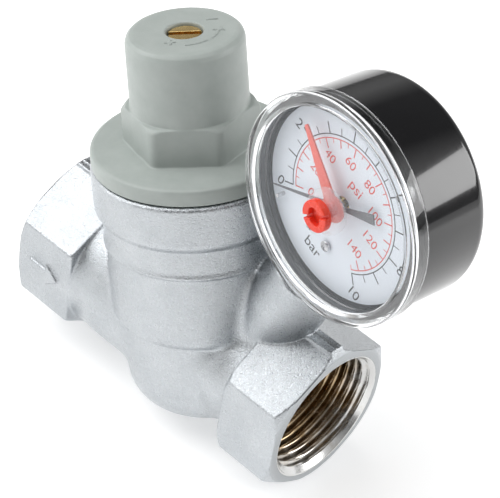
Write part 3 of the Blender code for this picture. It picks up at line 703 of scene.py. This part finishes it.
def cap_marks(x, y, z):
    """Raised turn arrow with a plus and a minus on top of the cap."""
    def local(at_x, at_y):
        dx, dy = x - at_x, y - at_y
        return np.abs(dx * MARK_COS + dy * MARK_SIN), np.abs(-dx * MARK_SIN + dy * MARK_COS)

    def line(along, across):
        return np.maximum(along - 1.1, across - MARK_HALF)

    r, angle = np.sqrt(x * x + y * y), np.degrees(np.arctan2(y, x))
    ring = np.maximum(np.abs(r - MARK_R) - MARK_HALF, np.abs(angle + 4.0) - 40.0)
    tip = math.radians(36.0)
    lx, ly = spun(x - MARK_R * math.cos(tip), y - MARK_R * math.sin(tip), 36.0)
    head = np.maximum(-ly, np.abs(lx) * 0.8 + ly * 0.6 - 1.0)
    px, py = local(1.6, -5.2)
    plus = np.minimum(line(px, py), line(py, px))
    minus = line(*local(0.8, 6.25))
    marks = np.minimum(np.minimum(ring, head), np.minimum(plus, minus))
    return np.maximum(marks, slab(z, 62.0, 63.45))


def bonnet_field(x, y, z):
    r = np.sqrt(x * x + y * y)
    along, across = spun(x, y, 40.6)
    cone = (r - 11.5 + (z - 48.8)) * 0.7071
    flats = smax(smax(hexagon(across, along, 11.15, 1.1), z - 48.8, 0.3), cone - 0.2, 0.25)
    solid = smin(bonnet_outer(r, z), np.maximum(flats, 39.0 - z), 0.35)
    solid = smin(solid, cap_marks(x, y, z), 0.10)
    return np.maximum(solid, -bonnet_inner(r, z))


BONNET_CELL = 0.26
points, quads, normals = surface(bonnet_field, (-19.4, -19.4, 33.7), (19.4, 19.4, 63.7),
                                 BONNET_CELL)
make_piece("bonnet_moulding", points, quads, BONNET, MATS["grey"], "housing",
           ["bonnet"], normals)


def coil(first, last, turns=5.5, low=36.65, high=51.45, radius=7.4, wire=1.1):
    """Spring wire between two shares of its length. The end turns lie nearly flat."""
    rows, sides = int(turns * 32 * (last - first)), 12
    verts, faces = [], []
    for k in range(rows + 1):
        share = first + (last - first) * k / rows
        a = 2.0 * math.pi * turns * share
        rise = min(1.0, max(0.0, (share * turns - 0.75) / (turns - 1.5)))
        h = low + (high - low) * rise + 0.35 * (share - rise)
        for j in range(sides):
            b = 2.0 * math.pi * j / sides
            r = radius + wire * math.cos(b)
            verts.append((r * math.cos(a), r * math.sin(a), h + wire * math.sin(b)))
            if k < rows:
                n, here, there = (j + 1) % sides, k * sides, (k + 1) * sides
                faces.append((here + j, here + n, there + n, there + j))
    faces.append(tuple(reversed(range(sides))))
    faces.append(tuple(range(rows * sides, (rows + 1) * sides)))
    return np.array(verts), faces


SPRING_CUT = 0.47                          # share of the wire in the lower piece
verts, faces = coil(0.0, SPRING_CUT)
spring_lower = make_piece("spring_lower", verts, faces, BONNET, MATS["steel"], None)
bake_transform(spring_lower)
verts, faces = coil(SPRING_CUT, 1.0)
spring_upper = make_piece("spring_upper", verts, faces, BONNET, MATS["steel"], "housing",
                          ["main_spring"])
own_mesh(spring_upper)

verts, faces = lathe([(2.3, 32.0), (9.3, 32.0), (9.3, 33.2), (2.3, 33.2)], 96, closed=True)
make_piece("diaphragm_disc", verts, faces, BONNET, MATS["rubber"], "valve_core")
verts, faces = lathe([(12.4, 31.2), (13.2, 30.8), (16.3, 30.8), (16.3, 32.3), (12.4, 32.3)],
                     96, closed=True)
make_piece("diaphragm_rim", verts, faces, BONNET, MATS["rubber"], "housing",
           ["diaphragm"])
verts, faces = turned([
    (9.32, 32.5), (10.1, 32.45), (11.5, 31.3), (12.38, 31.2), (12.38, 31.8), (11.7, 31.85),
    (10.3, 33.1), (9.32, 33.2)], [0.0, 0.6, 0.6, 0.0, 0.0, 0.6, 0.6, 0.0], 4, 96)
diaphragm_roll = make_piece("diaphragm_roll", verts, faces, BONNET, MATS["rubber"], None)
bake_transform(diaphragm_roll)


# ---- adjusting screw -------------------------------------------------------------------
def screw_field(x, y, z):
    r = np.sqrt(x * x + y * y)
    solid = smax(smax(r - 3.1, z - 62.7, 0.30), 55.0 - z, 0.3)
    across = np.abs(spun(x, y, 42.0)[1])
    return smax(solid, -np.maximum(across - 0.6, 61.2 - z), 0.12)


points, quads, normals = surface(screw_field, (-3.2, -3.2, 54.9), (3.2, 3.2, 62.8), 0.12)
make_piece("slotted_screw", points, quads, BONNET, MATS["brass"], "screw",
           ["adjusting_screw"], normals)


# ---- gauge stem ------------------------------------------------------------------------
TO_GAUGE = np.array(GAUGE.inverted() @ STEM, float)


def socket_field(x, y, z):
    """Gauge stem: chamfered spanner flats, round neck, and a block that holds the tube."""
    r = np.sqrt(x * x + y * y)
    solid = smax(smax(hexagon(y, x, 7.0, 0.3), z - HEX_HIGH, 0.2), HEX_LOW - z, 0.2)
    solid = smax(solid, (r - 7.1 + (z - HEX_HIGH) * 1.7) / 1.97, 0.2)
    solid = smax(solid, (r - 7.4 + (HEX_LOW - z) * 1.7) / 1.97, 0.2)
    solid = smin(solid, np.maximum(r - 3.9, slab(z, 15.8, 42.3)), 0.5)
    gx, gy, gz = (TO_GAUGE[i, 0] * x + TO_GAUGE[i, 1] * y + TO_GAUGE[i, 2] * z + TO_GAUGE[i, 3]
                  for i in range(3))
    block = np.maximum(np.abs(gx) - 4.4, np.maximum(np.abs(gy + 14.4) - 3.0,
                                                    np.abs(gz + 11.53) - 2.7))
    solid = smin(solid, block, 0.3)
    return np.maximum(solid, -np.maximum(r - 1.2, z - 44.0))


points, quads, normals = surface(socket_field, (-8.7, -7.8, 15.7), (8.7, 7.8, 48.8), 0.26)
make_piece("gauge_stem", points, quads, STEM, MATS["nickel"], "housing",
           ["gauge_socket"], normals)

# ---- gauge case, lens and dial ---------------------------------------------------------
verts, faces = turned([
    (0.0, -18.0), (20.05, -18.0), (20.05, -4.0), (19.7, -3.8), (19.7, -1.9), (18.7, -1.9),
    (18.7, -3.0), (18.5, -3.2), (18.5, -15.9), (17.7, -16.7), (0.0, -16.7)],
    [0.0, 2.2, 0.2, 0.1, 0.2, 0.1, 0.1, 0.05, 0.6, 0.6, 0.0], 8, 192, closed=False)
make_piece("case_shell", verts, faces, GAUGE, MATS["black"], "housing", ["gauge_case"],
           sharp=50.0)
verts, faces = turned([
    (18.2, -1.0), (18.2, -0.3), (18.8, 0.0), (20.75, 0.0), (20.75, -3.6), (20.05, -3.6),
    (20.05, -1.5), (18.5, -1.5), (18.5, -1.0)],
    [0.0, 0.1, 0.3, 0.6, 0.15, 0.1, 0.1, 0.1, 0.0], 5, 192)
make_piece("lens_rim", verts, faces, GAUGE, MATS["clear"], "housing", ["gauge_lens"],
           sharp=40.0)
verts, faces = turned([(4.15, -1.0), (4.15, -0.3), (18.15, -0.3), (18.15, -1.0)],
                      [0.0, 0.05, 0.05, 0.0], 3, 160)
make_piece("lens_window", verts, faces, GAUGE, MATS["lens_front"], "housing",
           sharp=40.0)
verts, faces = turned([(1.6, -1.0), (1.6, 0.9), (3.6, 0.9), (4.1, 0.4), (4.1, -1.0)],
                      [0.0, 0.15, 0.25, 0.15, 0.0], 4, 96)
make_piece("lens_collar", verts, faces, GAUGE, MATS["collar"], "housing", sharp=40.0)
verts, faces = turned([
    (1.5, DIAL_Z - 0.35), (17.9, DIAL_Z - 0.35), (17.9, DIAL_Z), (1.5, DIAL_Z)],
    [0.0, 0.08, 0.1, 0.0], 4, 160)
make_piece("dial_plate", verts, faces, GAUGE, MATS["dial"], "housing", ["gauge_dial"],
           sharp=40.0)


# ---- dial print ------------------------------------------------------------------------
def compass(radius, degrees):
    """Point on the dial, degrees clockwise from the top."""
    a = math.radians(degrees)
    return radius * math.sin(a), radius * math.cos(a)


def tick(inner, outer, degrees, width):
    """Straight scale mark between two radii."""
    a = math.radians(degrees)
    dx, dy = math.sin(a), math.cos(a)
    nx, ny = dy * width / 2.0, -dx * width / 2.0
    outline = [(dx * inner - nx, dy * inner - ny), (dx * inner + nx, dy * inner + ny),
               (dx * outer + nx, dy * outer + ny), (dx * outer - nx, dy * outer - ny)]
    return prism(outline[::-1], INK - INK_HALF, INK + INK_HALF)


def scale_arc(radius, width, first, last, steps=150):
    """Thin printed arc, closed at both ends."""
    near, far = radius - width / 2, radius + width / 2
    verts, faces = [], []
    for k in range(steps + 1):
        a = first + (last - first) * k / steps
        for r, z in ((near, -INK_HALF), (far, -INK_HALF), (far, INK_HALF), (near, INK_HALF)):
            verts.append((*compass(r, a), INK + z))
    for k in range(steps):
        b = 4 * k
        for i in range(4):
            j = (i + 1) % 4
            faces.append((b + i, b + 4 + i, b + 4 + j, b + j))
    faces.append((3, 2, 1, 0))
    faces.append((4 * steps, 4 * steps + 1, 4 * steps + 2, 4 * steps + 3))
    return np.array(verts), faces


def lettering(text, x, y, size):
    """Thin flat letters centred on a point of the dial."""
    curve = bpy.data.curves.new("letters", "FONT")
    curve.body = text
    curve.size = size
    curve.align_x = "CENTER"
    curve.align_y = "CENTER"
    curve.extrude = INK_HALF
    obj = bpy.data.objects.new("letters", curve)
    bpy.context.scene.collection.objects.link(obj)
    bpy.context.view_layer.update()
    mesh = bpy.data.meshes.new_from_object(obj.evaluated_get(
        bpy.context.evaluated_depsgraph_get()))
    verts = np.array([v.co for v in mesh.vertices], float).reshape(-1, 3)
    faces = [tuple(p.vertices) for p in mesh.polygons]
    centre = (verts.min(0) + verts.max(0)) / 2.0
    bpy.data.objects.remove(obj)
    bpy.data.meshes.remove(mesh)
    bpy.data.curves.remove(curve)
    return verts - centre + np.array((x, y, INK)), faces


ZERO = -129.5                              # where the scale starts, degrees from the top
PER_BAR = 26.3
PER_TEN_PSI = PER_BAR * 10.0 * 0.0689476
FULL = ZERO + 10.0 * PER_BAR
BAR_R, PSI_R = 12.45, 11.75
black_ink = [scale_arc(BAR_R, 0.20, ZERO - 0.4, FULL + 0.4)]
for k in range(21):
    whole = k % 2 == 0
    black_ink.append(tick(BAR_R, 14.6 if whole else 13.85, ZERO + PER_BAR * k / 2.0,
                          0.24 if whole else 0.15))
for k in range(0, 11, 2):
    x, y = compass(16.2 if k == 10 else 15.6, ZERO + PER_BAR * k - (2.4 if k == 2 else 0.0))
    black_ink.append(lettering(str(k), x, y, 2.9))
black_ink.append(lettering("bar", 0.4, -13.3, 3.1))
verts, faces = joined(black_ink)
make_piece("dial_print_black", verts, faces, GAUGE, MATS["print_black"], "housing",
           sharp=30.0)

red_ink = [scale_arc(PSI_R, 0.18, ZERO - 0.4, FULL + 0.4)]
for k in range(30):
    angle = ZERO + PER_TEN_PSI * k / 2.0
    if angle > FULL:
        break
    tens = k % 2 == 0
    red_ink.append(tick(9.9 if k % 4 == 0 else (10.2 if tens else 10.9), PSI_R, angle,
                        0.22 if tens else 0.14))
for k in range(0, 15, 2):
    x, y = compass(8.5 if k in (4, 6, 8) else 7.9,
                   ZERO + PER_TEN_PSI * k - (2.5 if k > 4 else 0.0))
    red_ink.append(lettering(str(10 * k), x, y, 2.55))
red_ink.append(lettering("psi", 0.2, 4.75, 3.0))
verts, faces = joined(red_ink)
make_piece("dial_print_red", verts, faces, GAUGE, MATS["print_red"], "housing",
           sharp=30.0)


# ---- dial furniture --------------------------------------------------------------------
def dial_screw_field(x, y, z):
    r = np.sqrt(x * x + y * y)
    dome = np.sqrt(r * r + (z + 4.95) ** 2) - 1.85
    head = smax(smax(r - 1.0, dome, 0.1), -3.77 - z, 0.05)
    shaft = np.maximum(r - 0.45, slab(z, -5.25, -3.6))
    cross = np.minimum(np.maximum(np.abs(x) - 0.14, np.abs(y) - 0.62),
                       np.maximum(np.abs(y) - 0.14, np.abs(x) - 0.62))
    return np.maximum(np.minimum(head, shaft), -np.maximum(cross, -3.38 - z))


points, quads, normals = surface(dial_screw_field, (-1.1, -1.1, -5.3), (1.1, 1.1, -3.0), 0.06)
for name, x in (("dial_screw_right", 2.3), ("dial_screw_left", -2.3)):
    place = GAUGE @ Matrix.Translation((x, -9.8, 0.0)) @ Matrix.Rotation(0.35 * x, 4, "Z")
    make_piece(f"{name}_cross", points, quads, place, MATS["steel"], "housing", [name],
               normals)

blade = [(-8.8, -0.95), (-8.8, 0.95), (-2.2, 0.42), (-1.3, 0.6), (1.3, 0.6), (2.4, 0.42),
         (16.4, 0.10), (16.4, -0.10), (2.4, -0.42), (1.3, -0.6), (-1.3, -0.6), (-2.2, -0.42)]
hub = turned([(0.8, -3.0), (1.55, -3.0), (1.55, -2.35), (1.1, -2.2), (0.8, -2.2)],
             [0.0, 0.1, 0.15, 0.1, 0.0], 3, 64)
verts, faces = joined([prism(blade[::-1], -2.88, -2.66), hub])
NEEDLE = GAUGE @ Matrix.Rotation(math.radians(221.3), 4, "Z")       # at 0 bar
make_piece("needle_blade", verts, faces, NEEDLE, MATS["needle"], "needle",
           ["gauge_needle"], sharp=30.0)

SETTER = GAUGE @ Matrix.Rotation(math.radians(152.2), 4, "Z")       # near 2.5 bar
round_end = [(2.5 * math.cos(math.radians(a)), 2.5 * math.sin(math.radians(a)))
             for a in range(32, 329, 8)]
arm = [(14.5, -0.42), (14.8, -0.25), (14.8, 0.25), (14.5, 0.42)]
verts, faces = prism(round_end + arm, -1.95, -1.6)
make_piece("red_pointer", verts, faces, SETTER, MATS["red_thin"], "setter",
           ["set_pointer"], sharp=30.0)


def knob_field(x, y, z):
    r = np.sqrt(x * x + y * y)
    head = smax(smax(r - 2.9, z - 2.65, 0.3), 1.2 - z, 0.2)
    stem = np.maximum(r - 1.2, slab(z, -1.55, 1.6))
    well = np.maximum(np.sqrt((x * 0.75) ** 2 + y * y) - 1.25, 1.55 - z)
    solid = smax(smin(head, stem, 0.2), -well, 0.12)
    across = np.abs(spun(x, y, 80.0)[1])
    return smax(solid, -np.maximum(across - 0.3, 1.75 - z), 0.1)


points, quads, normals = surface(knob_field, (-3.0, -3.0, -1.6), (3.0, 3.0, 2.7), 0.1)
make_piece("red_knob", points, quads, SETTER, MATS["red"], "setter", ["set_knob"],
           normals)

verts, faces = turned([(0.0, -4.8), (0.38, -4.8), (0.38, -2.3), (0.0, -2.3)],
                      [0.0, 0.05, 0.15, 0.0], 4, 40, closed=False)
x, y = compass(15.2, -138.5)
make_piece("zero_pin", verts, faces, GAUGE @ Matrix.Translation((x, y, 0.0)), MATS["steel"],
           "housing", ["stop_pin"], sharp=50.0)

# ---- camera ----------------------------------------------------------------------------
AZIMUTH, ELEVATION, ROLL = (math.radians(v) for v in (37.49, 41.27, -9.77))
back = Vector((math.sin(AZIMUTH) * math.cos(ELEVATION), -math.cos(AZIMUTH) * math.cos(ELEVATION),
               math.sin(ELEVATION)))
right = Vector((math.cos(AZIMUTH), math.sin(AZIMUTH), 0.0))
upward = back.cross(right)
cam_x = math.cos(ROLL) * right - math.sin(ROLL) * upward
cam_y = math.cos(ROLL) * upward + math.sin(ROLL) * right
camera_data = bpy.data.cameras.new("camera")
camera_data.lens = 144.0
camera_data.sensor_width = 36.0
camera_data.clip_start = 0.02
camera_data.clip_end = 20.0
camera = bpy.data.objects.new("camera", camera_data)
bpy.context.scene.collection.objects.link(camera)
eye = 10.7 * cam_x + 12.85 * cam_y + 391.76 * back
camera.matrix_world = basis(eye * MM, cam_x, cam_y, back)
bpy.context.scene.camera = camera


# ---- light and floor -------------------------------------------------------------------
def area_light(name, at, aim, size, power):
    """A rectangular softbox. Places and sizes are in metres."""
    data = bpy.data.lights.new(name, "AREA")
    data.shape = "RECTANGLE"
    data.size, data.size_y = size
    data.energy = power
    obj = bpy.data.objects.new(name, data)
    bpy.context.scene.collection.objects.link(obj)
    obj.location = at
    obj.rotation_euler = (Vector(aim) - Vector(at)).to_track_quat("-Z", "Y").to_euler()


area_light("left_softbox", (-0.58, -0.36, 0.42), (0.0, 0.0, 0.03), (0.50, 0.50), 2.6)
area_light("right_softbox", (0.54, 0.50, 0.35), (0.02, 0.0, 0.03), (0.42, 0.34), 2.1)
area_light("top_softbox", (-0.23, -0.19, 0.83), (0.0, 0.0, 0.02), (0.80, 0.80), 2.8)

world = bpy.data.worlds.new("studio")
world.use_nodes = True
sky = world.node_tree
sky_at = sky.nodes.new("ShaderNodeTexCoord")
sky_split = sky.nodes.new("ShaderNodeSeparateXYZ")
sky_ramp = sky.nodes.new("ShaderNodeValToRGB")
sky.links.new(sky_at.outputs["Generated"], sky_split.inputs[0])
sky.links.new(sky_split.outputs["Z"], sky_ramp.inputs[0])
DARK = (((-0.12, 0.68, 0.72), 0.78, 0.94), ((0.50, -0.78, 0.38), 0.60, 0.95))
DARK_GREY = (0.06, 0.06, 0.06, 1.0)
shade = sky_ramp.outputs[0]
for direction, start, full in DARK:        # dark studio walls, for contrast in the chrome
    facing = sky.nodes.new("ShaderNodeVectorMath")
    facing.operation = "DOT_PRODUCT"
    facing.inputs[1].default_value = direction
    sky.links.new(sky_at.outputs["Generated"], facing.inputs[0])
    amount = sky.nodes.new("ShaderNodeMapRange")
    amount.inputs["From Min"].default_value = start
    amount.inputs["From Max"].default_value = full
    sky.links.new(facing.outputs["Value"], amount.inputs["Value"])
    blend = sky.nodes.new("ShaderNodeMix")
    blend.data_type = "RGBA"
    blend.inputs[7].default_value = DARK_GREY
    sky.links.new(amount.outputs["Result"], blend.inputs[0])
    sky.links.new(shade, blend.inputs[6])
    shade = blend.outputs[2]
sky.links.new(shade, sky.nodes["Background"].inputs["Color"])
SKY = ((0.0, 0.10), (0.15, 0.28), (0.55, 0.60), (1.0, 0.85))        # height, brightness
for k, (at, value) in enumerate(SKY):
    stop = sky_ramp.color_ramp.elements[k] if k < 2 else sky_ramp.color_ramp.elements.new(at)
    stop.position = at
    stop.color = (value, value, value, 1.0)
sky.nodes["Background"].inputs["Strength"].default_value = 1.0
bpy.context.scene.world = world
bpy.context.scene.view_settings.view_transform = "Standard"

floor_mat = grained("floor_white", (0.88, 0.88, 0.88), (0.90, 0.90, 0.90), (0.7, 0.8), 0.0,
                    20.0, 0.0, 0.0, {"Emission Color": (1.0, 1.0, 1.0, 1.0),
                                     "Emission Strength": 0.42})
verts, faces = prism([(-6.0, -6.0), (6.0, -6.0), (6.0, 6.0), (-6.0, 6.0)], -0.02, 0.0)
floor_mesh = bpy.data.meshes.new("floor")
floor_mesh.from_pydata(verts.tolist(), [], faces)
floor_mesh.materials.append(floor_mat)
floor = bpy.data.objects.new("floor", floor_mesh)
bpy.context.scene.collection.objects.link(floor)
floor.location.z = cad_low.z - 0.0005

# ---- CAD nodes -------------------------------------------------------------------------
for name, obj in frame["nodes"].items():
    obj.data.materials.clear()
    obj.data.materials.append(MATS[SLOT_OF[name]])
